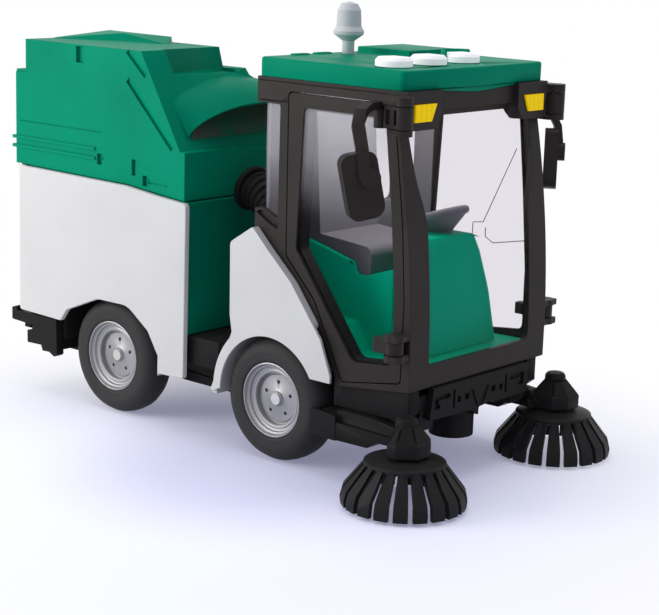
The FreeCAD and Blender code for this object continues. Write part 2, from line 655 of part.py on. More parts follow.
def fender(side):
    outline = [(90.8, 100.3, 1), (78.0, 92.2, 3), (78.5, 60.6, 3), (79.9, 53.3, 2), (66.7, 23.5, 1),
               (72.4, 27.0, 0), (135.8, 27.0, 0), (135.8, 44.7, 1), (130.0, 59.0, 4), (113.2, 80.0, 20),
               (99.3, 92.2, 6)]
    skin = plate_y(outline, -PANEL_HALF, -PANEL_HALF + 1.2)
    skin = skin.cut(rod((WHEELBASE, -60, TYRE_R), (WHEELBASE, -40, TYRE_R), 27.8))
    skin = skin.cut(box(100, 140, -60, -40, 20, 41.5))
    block = plate_y([(90.8, 100.3, 1), (78.0, 92.2, 3), (78.5, 60.6), (126, 60.6), (130.0, 59.0, 2),
                     (113.2, 80.0, 20), (99.3, 92.2, 6)], -PANEL_HALF, -CAB_HALF)
    rear_block = box(78.6, CAB_REAR, -CAB_HALF, -28, 60.6, 78)
    liner = rod((WHEELBASE, -PANEL_HALF + 1.2, TYRE_R), (WHEELBASE, -28.6, TYRE_R), 33)
    liner = liner.cut(rod((WHEELBASE, -60, TYRE_R), (WHEELBASE, -20, TYRE_R), ARCH_R + 1.2))
    liner = liner.cut(box(100, 140, -60, -20, -20, 44)).cut(box(60, 140, -60, -20, -20, 24))
    return on_side(fused([skin, block, rear_block, liner]), side)


# ---------------------------------------------------------------- front gear

def front_bumper():
    # plate with hook-shaped recesses, a grid of small holes and a toothed middle
    outline = [(-33.8, 44, 1), (-33.8, 31.0, 1), (-7, 30.2), (-4, 29.6), (-4, 27.4, 0.4),
               (-0.7, 27.4, 0.4), (-0.7, 30.6), (8, 31.6), (10, 30.6), (33.8, 31.0, 1), (33.8, 44, 1)]
    plate = plate_x(outline, 172.4, 175.4)
    ribs = [plate_x([(-6.0, 39.0), (-5.0, 39.0), (-1.0, 30.8), (-2.0, 30.8)], 175.3, 176.1),
            plate_x([(5.2, 40.0), (4.2, 40.0), (0.9, 31.6), (1.9, 31.6)], 175.3, 176.1)]
    recesses = []
    for y, z in ((-31.0, 35.0), (19.0, 35.2)):
        recesses.append(box(174.0, 180, y, y + 10.2, z + 3.4, z + 5.4))
        recesses.append(box(174.0, 180, y, y + 2.6, z, z + 5.4))
        recesses.append(box(174.0, 180, y, y + 3.8, z, z + 1.6))
    holes = ((-18.6, -17.4, 33.6, 41.3), (-15.5, -13.5, 35.3, 37.8), (-10.5, -7.8, 35.5, 38.0),
             (6.2, 7.4, 34, 38.5), (9.4, 10.4, 35, 39), (14, 17.4, 35, 38))
    for y0, y1, z0, z1 in holes:
        recesses.append(box(174.0, 180, y0, y1, z0, z1))
    return fused([plate, *ribs]).cut(Part.makeCompound(recesses))


def suction_nozzle():
    # upright pipe under the front with a shallow recess in its mouth
    mouth = CHASSIS_BOTTOM - 1.5
    pipe = Part.makeCylinder(NOZZLE_R, 31 - mouth, V(NOZZLE_X, 0, mouth))
    flange = Part.makeCylinder(NOZZLE_R + 2.0, 3.0, V(NOZZLE_X, 0, 28))
    recess = Part.makeCylinder(NOZZLE_R - 1.6, 3.0, V(NOZZLE_X, 0, mouth))
    return fused([pipe, flange]).cut(recess)


def brush_arm(side):
    # box beside the front wheel, stepped beam and a tapered pod over the brush
    box_skin = plate_y([(125.6, 18.3, 0.8), (139.6, 18.3), (139.6, 28.6), (125.6, 29.6, 0.8)], -50.5, -49.0)
    box_core = plate_y([(129.6, 18.3), (139.6, 18.3), (139.6, 29.0), (129.6, 29.4)], -49.2, -30)
    low_beam = plate_y([(139.4, 18.4), (156.5, 18.8), (161.0, POD_BOTTOM), (174, POD_BOTTOM), (172, 25.4),
                        (139.4, 26.0)], -50.2, -40)
    high_beam = plate_y([(138, 24), (176, 24), (171.5, 29.2), (156, 30.6), (138, 30.6)], -47.6, -41.5)
    foot = [(170.8, -50.5), (176.4, -62.0), (181.0, -62.4), (187.6, -56.5), (187.6, -48.2),
            (183, -42.6), (172, -41.8)]
    knob = (BRUSH_X, -BRUSH_Y)
    pod = plate_z(foot, POD_BOTTOM, 27.4)
    crown = [(knob[0] + (x - knob[0]) * 0.46, knob[1] + (y - knob[1]) * 0.46) for x, y in foot]
    lower = Part.makePolygon([V(x, y, 27.4) for x, y in foot + foot[:1]])
    upper = Part.makePolygon([V(x, y, 34.0) for x, y in crown + crown[:1]])
    roof = Part.makeLoft([lower, upper], True, True)
    cap = turned(((0, 30), (KNOB_R, 30), (KNOB_R, 35.6), (KNOB_R - 1.0, 36.8), (0, 37.0)),
                 (*knob, 0), (0, 0, 1))
    body = fused([box_skin, box_core, low_beam, high_beam, pod, roof, cap])
    hole = rod((*knob, 20), (*knob, 33), BRUSH_PIN_R + AXLE_PLAY)
    return on_side(body.cut(hole), side)


def brush(side):
    # low cone, drive pin and flat tines that widen towards their steep tips
    disc = turned(((0, 17.4), (BRUSH_HUB_R - 1.5, 17.0), (BRUSH_HUB_R, 17.8), (BRUSH_HUB_R, 19.0),
                   (9, 21.2), (0, 21.2)), (0, 0, 0), (0, 0, 1))
    pin = rod((0, 0, 20.0), (0, 0, 32.0), BRUSH_PIN_R)
    side_view = [(8.0, 18.6), (BRUSH_HUB_R - 0.2, 18.2), (24.3, 8.0), (BRUSH_R, 4.0),
                 (BRUSH_R - 0.3, BRUSH_FLOOR_GAP), (BRUSH_R - 2.3, BRUSH_FLOOR_GAP), (22.2, 7.0),
                 (14.6, 16.4), (8.0, 17.0)]
    taper = plate_z([(7.5, -1.1), (BRUSH_HUB_R, -2.0), (BRUSH_R, -3.0), (BRUSH_R, 3.0),
                     (BRUSH_HUB_R, 2.0), (7.5, 1.1)], 0, 30)
    tines = []
    for k in range(TINES):
        tine = plate_y(side_view, -4, 4).common(taper)
        tine.rotate(V(0, 0, 0), V(0, 0, 1), 360.0 * k / TINES)
        tines.append(tine)
    body = fused([disc, pin, *tines])
    body.translate(V(BRUSH_X, side * BRUSH_Y, 0))
    return body


def strap(stations, width, thick):
    # flat band through stations of point and width direction
    wires = []
    for i, (point, across) in enumerate(stations):
        before = stations[max(i - 1, 0)][0]
        after = stations[min(i + 1, len(stations) - 1)][0]
        flat = V(*across).normalize()
        normal = (V(*after) - V(*before)).cross(flat).normalize()
        corners = [V(*point) + flat * (width * a / 2) + normal * (thick * b / 2)
                   for a, b in ((-1, -1), (1, -1), (1, 1), (-1, 1), (-1, -1))]
        wires.append(Part.makePolygon(corners))
    return Part.makeLoft(wires, True, True)


def mirror(side):
    # rounded housing toed in, ball boss on its front shell, flat hooked arm from the door's hinge
    housing = plate_x([(-7.3, -13, 4), (7.3, -13, 5), (7.3, 13, 4), (-7.3, 13, 4)], -3, 3)
    housing.rotate(V(0, 0, 0), V(1, 0, 0), MIRROR_LEAN)
    housing.translate(V(0, 0, 127.5))
    boss = rod((2, 2.2, 131), (6.0, 2.2, 131), 3.9)
    head = fused([housing, boss])
    head.Placement = FreeCAD.Placement(V(MIRROR_X, -MIRROR_Y, 0), FreeCAD.Rotation(V(0, 0, 1), -MIRROR_TOE))
    face_on, along_x = (0.7, 0.7, 0), (1, 0, 0)
    arm = strap([((164.0, -65.6, 130.0), face_on), ((161.8, -66.0, 142.0), face_on),
                 ((157.6, -63.8, 150.5), face_on), ((156.8, -61.0, 155.4), (0.95, 0.3, 0)),
                 ((157.0, -57.0, 157.3), along_x), ((157.0, -49.6, 157.3), along_x)], 5.0, 3.0)
    return on_side(fused([head, arm]), side)


# ---------------------------------------------------------------- assembly

def all_nodes():
    nodes = wheel_nodes()
    nodes.update({
        "chassis": chassis(), "rear_bumper": rear_bumper(), "lower_tub": tub(), "hopper_shell": hopper(),
        "hopper_scoop": scoop(), "hopper_hinge_pin": hinge_pin(),
        "suction_hose": hose(), "cab_frame": cab_frame(), "windscreen": windscreen(),
        "side_glass": side_glass(),
        "cab_roof": cab_roof(), "headlamp_lenses": headlamps(), "beacon": beacon(),
        "roof_buttons": roof_buttons(), "cab_tub": cab_tub(), "console": console(), "seat": seat(),
        "steering_wheel": steering_wheel(), "front_bumper": front_bumper(), "suction_nozzle": suction_nozzle(),
    })
    for side_name, side in SIDES:
        nodes[f"rear_panel_{side_name}"] = rear_panel(side)
        nodes[f"front_fender_{side_name}"] = fender(side)
        nodes[f"door_{side_name}"] = door(side)
        nodes[f"door_glass_{side_name}"] = door_glass(side)
        nodes[f"brush_arm_{side_name}"] = brush_arm(side)
        nodes[f"side_brush_{side_name}"] = brush(side)
        nodes[f"mirror_{side_name}"] = mirror(side)
    return nodes


def export():
    os.makedirs("parts", exist_ok=True)
    for name, shape in all_nodes().items():
        shape.translate(V(SHIFT_X, 0, 0))
        shape.exportStep(f"parts/{name}.step")
        size = shape.BoundBox
        print(f"{name:22s} solids {len(shape.Solids)} valid {shape.isValid()} "
              f"x {size.XMin:.1f}..{size.XMax:.1f} y {size.YMin:.1f}..{size.YMax:.1f} "
              f"z {size.ZMin:.1f}..{size.ZMax:.1f}")


export()
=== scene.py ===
import json
import math

import bmesh
import bpy
from mathutils import Matrix, Vector


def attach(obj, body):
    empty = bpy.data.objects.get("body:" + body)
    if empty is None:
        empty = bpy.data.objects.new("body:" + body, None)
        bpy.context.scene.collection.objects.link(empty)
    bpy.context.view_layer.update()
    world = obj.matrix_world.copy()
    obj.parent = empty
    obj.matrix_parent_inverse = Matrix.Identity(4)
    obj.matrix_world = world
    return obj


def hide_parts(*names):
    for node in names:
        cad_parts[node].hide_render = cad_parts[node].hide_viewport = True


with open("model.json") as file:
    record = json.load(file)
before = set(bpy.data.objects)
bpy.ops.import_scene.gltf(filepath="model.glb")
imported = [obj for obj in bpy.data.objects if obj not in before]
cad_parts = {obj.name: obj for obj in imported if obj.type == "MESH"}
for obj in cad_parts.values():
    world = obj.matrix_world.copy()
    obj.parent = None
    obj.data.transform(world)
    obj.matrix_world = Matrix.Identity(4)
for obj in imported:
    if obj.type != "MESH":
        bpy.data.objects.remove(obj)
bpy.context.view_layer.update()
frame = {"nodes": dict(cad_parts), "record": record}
nodes = frame["nodes"]
MM = 0.001
# the model's origin lies this far ahead of the rear axle, so lengths here read from the axle
REAR_AXLE_X = 67.25
SIDES = (("right", -1), ("left", 1))


def at(x, y, z):
    """Millimetres from the rear axle, the middle plane and the floor, as a place in metres."""
    return Vector(((x - REAR_AXLE_X) * MM, y * MM, z * MM))


# ---------------------------------------------------------------- camera

CAMERA_PLACE = at(587.784, -575.235, 227.496)
CAMERA_RIGHT = Vector((0.75201218, 0.65841208, 0.03116421))
CAMERA_UP = Vector((-0.16594253, 0.14335266, 0.97566034))
CAMERA_LENS = 95.99

camera_data = bpy.data.cameras.new("camera")
camera_data.sensor_width = 36
camera_data.lens = CAMERA_LENS
camera_data.clip_start = 0.01
camera = bpy.data.objects.new("camera", camera_data)
camera.matrix_world = Matrix.Translation(CAMERA_PLACE) @ Matrix(
    (CAMERA_RIGHT, CAMERA_UP, CAMERA_RIGHT.cross(CAMERA_UP))).transposed().to_4x4()
scene = bpy.context.scene
scene.collection.objects.link(camera)
scene.camera = camera
scene.view_settings.view_transform = "Standard"


# ---------------------------------------------------------------- materials

def linear(hexcode):
    """An sRGB hex colour as linear values with alpha."""
    channels = [int(hexcode[i:i + 2], 16) / 255 for i in (1, 3, 5)]
    return [c / 12.92 if c <= 0.04045 else ((c + 0.055) / 1.055) ** 2.4 for c in channels] + [1.0]


def add(tree, kind, settings=None, links=None):
    """Adds a shader node, sets its properties and sockets, and links its inputs.

    Sockets go by name or number: a colour Mix has its two colours in 6 and 7, and a Map Range its four limits
    in 1 to 4.
    """
    made = tree.nodes.new("ShaderNode" + kind)
    for key, value in (settings or {}).items():
        if isinstance(key, str) and hasattr(made, key):
            setattr(made, key, value)
        else:
            made.inputs[key].default_value = value
    for socket, source in (links or {}).items():
        tree.links.new(source, made.inputs[socket])
    return made


def fresh(name):
    """An empty node material and its tree."""
    material = bpy.data.materials.new(name)
    material.use_nodes = True
    material.node_tree.nodes.clear()
    return material, material.node_tree


def finish_material(tree, shader):
    """Sends a shader to the surface."""
    add(tree, "OutputMaterial", links={"Surface": shader.outputs[0]})


def moulded(name, base, shade, roughness, grain_mm, grain_depth_mm, ior=1.53, gloss=0.1, edge_mm=0.4,
            flow_mm=38.0, painted_glow=0.0):
    """A moulded thermoplastic: slow colour drift from the melt flow, a spark-eroded grain and eased edges.

    Its last argument is the share of its own colour that it gives off as a glow of its own, which is painted
    light. The grain is drawn coarser than a real one, so that it shows.
    """
    material, tree = fresh(name)
    place = add(tree, "TexCoord")
    flow = add(tree, "TexNoise", {"Scale": 1 / (flow_mm * MM), "Detail": 3.0, "Roughness": 0.55},
               {"Vector": place.outputs["Object"]})
    tint = add(tree, "Mix", {"data_type": "RGBA", 6: linear(base), 7: linear(shade)})
    drift = add(tree, "MapRange", {1: 0.35, 2: 0.75, 3: 0.0, 4: 1.0}, {0: flow.outputs[0]})
    tree.links.new(drift.outputs[0], tint.inputs[0])
    grain = add(tree, "TexNoise", {"Scale": 1 / (grain_mm * MM), "Detail": 2.0, "Roughness": 0.5},
                {"Vector": place.outputs["Object"]})
    sheen_drift = add(tree, "MapRange", {1: 0.3, 2: 0.7, 3: roughness - 0.04, 4: roughness + 0.05},
                      {0: grain.outputs[0]})
    eased = add(tree, "Bevel", {"samples": 4, "Radius": edge_mm * MM})
    relief = add(tree, "Bump", {"Strength": 0.5, "Distance": grain_depth_mm * MM},
                 {"Height": grain.outputs[0], "Normal": eased.outputs[0]})
    shader = add(tree, "BsdfPrincipled", {"IOR": ior, "Specular IOR Level": gloss,
                                          "Emission Color": linear(base), "Emission Strength": painted_glow},
                 {"Base Color": tint.outputs[2], "Roughness": sheen_drift.outputs[0],
                  "Normal": relief.outputs[0]})
    finish_material(tree, shader)
    return material


# ABS from a satin mould: even colour, soft wide highlights
green_abs = moulded("satin_moulded_green_abs", "#008F6C", "#008463", 0.4, 0.5, 0.02, gloss=0.02)
# the same green ABS inside the clear cab, made lighter and given a faint glow: painted light for the light that
# reaches it from every side
footwell_abs_with_painted_light = moulded("satin_moulded_green_abs_with_painted_light", "#00AA82", "#00A078", 0.42, 0.5, 0.02,
                       gloss=0.01, painted_glow=0.1)
# the same green ABS, darkened as painted shade for the tub behind the cab, which the cab shades
dark_green_abs = moulded("satin_moulded_green_abs_with_painted_shade", "#00765C", "#006C54", 0.45, 0.5, 0.02, gloss=0.03)
# white ABS shells: slightly glossier, faintly cool
white_abs = moulded("satin_moulded_white_abs", "#D6D6D4", "#D0D0CE", 0.38, 0.6, 0.012, gloss=0.12)
# charcoal ABS of the cab frame: fine matt grain that greys in glancing light
charcoal_abs = moulded("matt_moulded_charcoal_abs", "#322D2C", "#2A2625", 0.42, 0.35, 0.03, gloss=0.09)
# black polypropylene under the truck: darker and waxier
black_pp = moulded("matt_moulded_black_polypropylene", "#242222", "#1D1B1C", 0.45, 0.4, 0.03, ior=1.49,
                   gloss=0.06)
# thin flexible tines of the same, with a slight shine where they bend
bristle_pp = moulded("flexible_moulded_black_polypropylene", "#262525", "#1E1D1E", 0.44, 0.4, 0.03, ior=1.49,
                     gloss=0.09)
# tyre vinyl: soft and dull, a tone lighter than the black plastic
tyre_vinyl = moulded("soft_moulded_black_vinyl", "#3C3B3B", "#353434", 0.55, 0.5, 0.03, ior=1.52, gloss=0.1)
# grey ABS of the seat, the wheel and the linings: even and quiet
grey_abs = moulded("satin_moulded_grey_abs", "#7A787B", "#726F73", 0.45, 0.5, 0.02)
# the push-buttons are thin soft white vinyl with a glow of their own: painted light that brightens their shaded
# sides
button_pvc = moulded("soft_moulded_white_vinyl_with_painted_glow", "#F4F4F4", "#EEEEEE", 0.5, 0.4, 0.01, painted_glow=0.3)
# polyethylene of the beacon: milky and soft-edged
beacon_pe = moulded("frosted_moulded_polyethylene", "#D6D7D8", "#CCCDCE", 0.5, 0.5, 0.01, ior=1.51)
# the floor of the air inlet, where the green greys in the shade
recess_shade = moulded("shaded_moulded_green_abs", "#2A7A5E", "#6B5F58", 0.6, 0.5, 0.01, gloss=0.02,
                       flow_mm=16.0)


# spacing of the lamp's flutes, the lacquer's flakes, the lines round a wire and the uneven edge of the painted
# reflection on the glazing;
# flakes and wire lines are drawn coarser than real ones, so that they show
FLUTE_MM, FLAKE_MM, WIRE_LINE_MM, RIPPLE_MM = 3.16, 0.35, 0.4, 14.0


def tinted_lamp():
    """Amber moulded polystyrene with fine flutes inside: deep colour, a glassy front and a faint glow of its
    own, which is painted light.
    """
    material, tree = fresh("fluted_amber_polystyrene_with_painted_glow")
    place = add(tree, "TexCoord")
    # a wave texture of scale 1 has 20 radians of wave in each metre
    flutes = add(tree, "TexWave", {"bands_direction": "Y", "Scale": math.tau / 20 / (FLUTE_MM * MM),
                                   "Distortion": 0.0}, {"Vector": place.outputs["Object"]})
    tint = add(tree, "Mix", {"data_type": "RGBA", 6: linear("#FFE400"), 7: linear("#FFD400")},
               {0: flutes.outputs[0]})
    relief = add(tree, "Bump", {"Strength": 0.3, "Distance": 0.15 * MM}, {"Height": flutes.outputs[0]})
    shader = add(tree, "BsdfPrincipled", {"IOR": 1.59, "Roughness": 0.22, "Specular IOR Level": 0.06,
                                          "Emission Color": linear("#FFC800"), "Emission Strength": 0.22},
                 {"Base Color": tint.outputs[2], "Normal": relief.outputs[0]})
    finish_material(tree, shader)
    return material


def painted_silver():
    """Silver lacquer over moulded ABS: fine aluminium flake under a soft sheen."""
    material, tree = fresh("sprayed_silver_lacquer")
    place = add(tree, "TexCoord")
    flake = add(tree, "TexVoronoi", {"Scale": 1 / (FLAKE_MM * MM)}, {"Vector": place.outputs["Object"]})
    tint = add(tree, "Mix", {"data_type": "RGBA", 6: linear("#A4A4A6"), 7: linear("#939396")})
    tree.links.new(flake.outputs["Distance"], tint.inputs[0])
    eased = add(tree, "Bevel", {"samples": 4, "Radius": 0.3 * MM})
    shader = add(tree, "BsdfPrincipled", {"Metallic": 0.45, "Roughness": 0.36, "IOR": 1.5,
                                          "Specular IOR Level": 0.4},
                 {"Base Color": tint.outputs[2], "Normal": eased.outputs[0]})
    finish_material(tree, shader)
    return material


def drawn_steel():
    """Drawn steel wire of the hinge pins and axles: bright, with fine lines round it."""
    material, tree = fresh("drawn_steel_wire")
    place = add(tree, "TexCoord")
    lines = add(tree, "TexNoise", {"Scale": 1 / (WIRE_LINE_MM * MM), "Detail": 2.0},
                {"Vector": place.outputs["Object"]})
    gloss = add(tree, "MapRange", {1: 0.3, 2: 0.7, 3: 0.2, 4: 0.34}, {0: lines.outputs[0]})
    shader = add(tree, "BsdfPrincipled", {"Metallic": 1.0, "Base Color": linear("#C9C8C6")},
                 {"Roughness": gloss.outputs[0]})
    finish_material(tree, shader)
    return material


def clear_glazing(name, glare_low_mm, glare_high_mm, painted_glare):
    """Clear moulded polystyrene: see-through, bright at a slant, with a pale painted reflection that grows
    upwards.
    """
    material, tree = fresh(name)
    place = add(tree, "TexCoord")
    ripple = add(tree, "TexNoise", {"Scale": 1 / (RIPPLE_MM * MM), "Detail": 1.0},
                 {"Vector": place.outputs["Object"]})
    through = add(tree, "BsdfTransparent", {"Color": linear("#F8F7F9")})
    gloss = add(tree, "BsdfGlossy", {"Roughness": 0.06, "Color": linear("#FFFFFF")})
    facing = add(tree, "LayerWeight", {"Blend": 0.5})
    steep = add(tree, "Math", {"operation": "POWER", 1: 5.0}, {0: facing.outputs["Facing"]})
    share = add(tree, "MapRange", {1: 0.0, 2: 1.0, 3: 0.0, 4: 0.3}, {0: steep.outputs[0]})
    clear = add(tree, "MixShader", {}, {0: share.outputs[0], 1: through.outputs[0], 2: gloss.outputs[0]})
    height = add(tree, "SeparateXYZ", {}, {0: add(tree, "NewGeometry").outputs["Position"]})
    # the painted reflection's edge wanders up and down by half of this
    wander = 16 * MM
    uneven = add(tree, "Math", {"operation": "MULTIPLY_ADD", 1: wander, 2: -wander / 2},
                 {0: ripple.outputs[0]})
    level = add(tree, "Math", {"operation": "ADD"}, {0: height.outputs["Z"], 1: uneven.outputs[0]})
    glare_share = add(tree, "MapRange", {"interpolation_type": "SMOOTHSTEP", 1: glare_low_mm * MM,
                                  2: glare_high_mm * MM, 3: 0.0, 4: painted_glare}, {0: level.outputs[0]})
    pale = add(tree, "BsdfDiffuse", {"Color": linear("#E4E3E6")})
    mixed = add(tree, "MixShader", {}, {0: glare_share.outputs[0], 1: clear.outputs[0], 2: pale.outputs[0]})
    finish_material(tree, mixed)
    return material


amber_lens = tinted_lamp()
silver_lacquer = painted_silver()
steel = drawn_steel()
glazing = clear_glazing("clear_moulded_polystyrene", 170, 200, 0.0)
# the near panes carry a painted reflection: a pale sheet that grows towards their tops
glazing_with_painted_glare = clear_glazing("clear_moulded_polystyrene_with_painted_glare", 104, 158, 0.26)
FINISHES = {
    "green_abs": green_abs, "dark_green_abs": dark_green_abs, "white_abs": white_abs,
    "charcoal_abs": charcoal_abs, "black_pp": black_pp, "tyre_vinyl": tyre_vinyl,
    "grey_abs": grey_abs, "bristle_pp": bristle_pp, "button_grey": button_pvc,
    "frosted_lens": beacon_pe, "yellow_lens": amber_lens, "rim_silver": silver_lacquer,
    "steel": steel, "clear_pc": glazing,
}

for row in frame["record"]["subparts"]:
    mesh = nodes[row["node"]].data
    mesh.materials.clear()
    mesh.materials.append(FINISHES[row["material_slot"]])


# ---------------------------------------------------------------- building meshes
# every shape below is drawn in millimetres from the rear axle, the middle plane and the floor

WELD_MM = 0.002
# edges that turn by more than this are eased
EASED_OVER_DEG = 35
# half widths over the hopper, the cab and the white panels
HOPPER_HALF, CAB_HALF, PANEL_HALF = 48.0, 46.7, 50.3
WHEELBASE = 101.2
TYRE_R, TYRE_INNER_Y = 27.0, 31.0
CHASSIS_BOTTOM = 18.0


def copied(node):
    """A CAD node's mesh with its corners welded."""
    source = nodes[node]
    bm = bmesh.new()
    bm.from_mesh(source.data)
    for vert in bm.verts:
        place = source.matrix_world @ vert.co / MM
        vert.co = (place.x + REAR_AXLE_X, place.y, place.z)
    bmesh.ops.remove_doubles(bm, verts=bm.verts, dist=WELD_MM)
    return bm


def rounded(corners, steps=5):
    """Points of an outline whose (u, v, radius) corners are rounded."""
    points = []
    for i, corner in enumerate(corners):
        here = Vector(corner[:2])
        radius = corner[2] if len(corner) > 2 else 0
        if not radius:
            points.append(tuple(here))
            continue
        before = (Vector(corners[i - 1][:2]) - here).normalized()
        after = (Vector(corners[(i + 1) % len(corners)][:2]) - here).normalized()
        half = before.angle(after) / 2
        centre = here + (before + after).normalized() * (radius / math.sin(half))
        start = here + before * (radius / math.tan(half)) - centre
        turn = math.atan2(start.x * after.y - start.y * after.x, start @ after)
        sweep = math.copysign(math.pi - 2 * half, turn)
        for k in range(steps + 1):
            angle = sweep * k / steps
            points.append((centre.x + start.x * math.cos(angle) - start.y * math.sin(angle),
                           centre.y + start.x * math.sin(angle) + start.y * math.cos(angle)))
    return points


def along_x(u, v, w):
    """An outline drawn in y and z, with its thickness along x."""
    return w, u, v


def along_y(u, v, w):
    """An outline drawn in x and z, with its thickness along y."""
    return u, w, v


def along_z(u, v, w):
    """An outline drawn in x and y, with its thickness along z."""
    return u, v, w


def skinned(bm, rings, caps=True, ring_closed=True, loop=False):
    """Joins rings of points with quads; a ring of one point is a tip."""
    made = [[bm.verts.new(point) for point in ring] for ring in rings]
    pairs = list(zip(made, made[1:])) + ([(made[-1], made[0])] if loop else [])
    for low, high in pairs:
        count = max(len(low), len(high))
        for k in range(count if ring_closed else count - 1):
            n = (k + 1) % count
            if len(low) == 1:
                bm.faces.new((low[0], high[k], high[n]))
            elif len(high) == 1:
                bm.faces.new((low[k], high[0], low[n]))
            else:
                bm.faces.new((low[k], high[k], high[n], low[n]))
    if caps and not loop:
        for ring in (made[0], made[-1]):
            if len(ring) > 2:
                bm.faces.new(ring)
    return made


def slab(bm, corners, low, high, place, steps=5):
    """A plate with a rounded outline, from low to high along the direction that place gives."""
    outline = rounded(corners, steps)
    skinned(bm, [[place(u, v, w) for u, v in outline] for w in (low, high)])


def turned(bm, profile, centre, axis, steps=96, loop=False):
    """(radius, height) points turned about an axis through centre."""
    axis = Vector(axis).normalized()
    side = Vector((1, 0, 0)) if abs(axis.x) < 0.9 else Vector((0, 0, 1))
    side = (side - axis * side.dot(axis)).normalized()
    across = axis.cross(side)
    rings = []
    for radius, height in profile:
        middle = Vector(centre) + axis * height
        count = steps if radius else 1
        rings.append([middle + (side * math.cos(a) + across * math.sin(a)) * radius
                      for a in [2 * math.pi * k / count for k in range(count)]])
    skinned(bm, rings, caps=False, loop=loop)


def tube(bm, path, section, caps=True):
    """Sweeps a section along a path; section(share, along) gives (u, v) points, u starting level."""
    points = [Vector(point) for point in path]
    lengths = [0.0]
    for a, b in zip(points, points[1:]):
        lengths.append(lengths[-1] + (b - a).length)
    tangents = [(points[min(i + 1, len(points) - 1)] - points[max(i - 1, 0)]).normalized()
                for i in range(len(points))]
    level = tangents[0].cross(Vector((0, 0, 1)))
    level = level.normalized() if level.length > 0.1 else Vector((0, 1, 0))
    rings = []
    for point, tangent, along in zip(points, tangents, lengths):
        level = (level - tangent * level.dot(tangent)).normalized()
        rise = level.cross(tangent)
        rings.append([point + level * u + rise * v for u, v in section(along / lengths[-1], along)])
    skinned(bm, rings, caps)


def smooth_path(points, steps=8):
    """A curve through points, as closely spaced places."""
    knots = [Vector(p) for p in points]
    knots = [knots[0] * 2 - knots[1], *knots, knots[-1] * 2 - knots[-2]]
    places = []
    for a, b, c, d in zip(knots, knots[1:], knots[2:], knots[3:]):
        for k in range(steps):
            t = k / steps
            places.append(0.5 * (2 * b + (c - a) * t + (2 * a - 5 * b + 4 * c - d) * t * t
                                 + (3 * b - a - 3 * c + d) * t ** 3))
    return places + [knots[-2]]


def round_section(radius, sides):
    """The same round section all along a tube."""
    ring = [(math.cos(2 * math.pi * k / sides), math.sin(2 * math.pi * k / sides)) for k in range(sides)]
    return lambda share, along: [(x * radius, y * radius) for x, y in ring]


def block(bm, x0, x1, y0, y1, z0, z1):
    """A straight-edged bar, for ribs, slots and cutters."""
    slab(bm, [(x0, y0), (x1, y0), (x1, y1), (x0, y1)], z0, z1, along_z)


def carved(bm, tool):
    """Cuts the shape in tool out of the shape in bm."""
    objects = []
    for label, shape in (("stock", bm), ("tool", tool)):
        bmesh.ops.recalc_face_normals(shape, faces=shape.faces)
        mesh = bpy.data.meshes.new(label)
        shape.to_mesh(mesh)
        shape.free()
        objects.append(bpy.data.objects.new(label, mesh))
        scene.collection.objects.link(objects[-1])
    stock, cutter = objects
    cut = stock.modifiers.new("cut", "BOOLEAN")
    cut.object = cutter
    cut.operation = "DIFFERENCE"
    cut.solver = "EXACT"
    cut.use_self = True
    bpy.context.view_layer.update()
    result = bpy.data.meshes.new_from_object(stock.evaluated_get(bpy.context.evaluated_depsgraph_get()))
    out = bmesh.new()
    out.from_mesh(result)
    for made in objects:
        spent = made.data
        bpy.data.objects.remove(made)
        bpy.data.meshes.remove(spent)
    bpy.data.meshes.remove(result)
    return out


def piece(name, bm, body, slot, stands_for=(), finish=None, round_mm=0.0, smooth_deg=38):
    """Makes an object of bm, gives it its finish and hands it to the body that carries it.

    stands_for names the plain solids that it takes the place of, round_mm eases its edges, and faces that meet
    at less than smooth_deg shade as one surface.
    """
    bmesh.ops.recalc_face_normals(bm, faces=bm.faces)
    for vert in bm.verts:
        vert.co = at(*vert.co)
    for face in bm.faces:
        face.smooth = True
    mesh = bpy.data.meshes.new(name)
    bm.to_mesh(mesh)
    bm.free()
    mesh.set_sharp_from_angle(angle=math.radians(smooth_deg))
    mesh.materials.append(finish or FINISHES[slot])
    made = bpy.data.objects.new(name, mesh)
    scene.collection.objects.link(made)
    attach(made, body)
    for node in stands_for:
        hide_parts(node)
    if round_mm:
        eased = made.modifiers.new("eased_edges", "BEVEL")
        eased.width = round_mm * MM
        eased.segments = 2
        eased.limit_method = "ANGLE"
        eased.angle_limit = math.radians(EASED_OVER_DEG)
        eased.use_clamp_overlap = False
        eased.harden_normals = True
    return made


# ---------------------------------------------------------------- eased copies of the moulded parts

def groove(bm, x0, x1, z0, z1, side, skin, depth):
    """A cutter that sinks a pocket into a side face whose skin lies at y = skin."""
    block(bm, x0, x1, *sorted((side * (skin + 0.4), side * (skin - depth))), z0, z1)


def draft_step(bm, ends, wide, side, skin, depth):
    """A cutter for a long shallow step in a side face: deep along its lower edge, running out at the upper."""
    a, b = [Vector(p) for p in ends]
    off = Vector((a.y - b.y, b.x - a.x)).normalized() * wide
    if off.x < 0:
        off = -off
    rings = []
    for x, z in (a, b):
        rings.append([(x, side * (skin + 0.6), z), (x, side * (skin - depth), z),
                      (x + off.x, side * (skin - 0.02), z + off.y), (x + off.x, side * (skin + 0.6), z + off.y)])
    skinned(bm, rings)


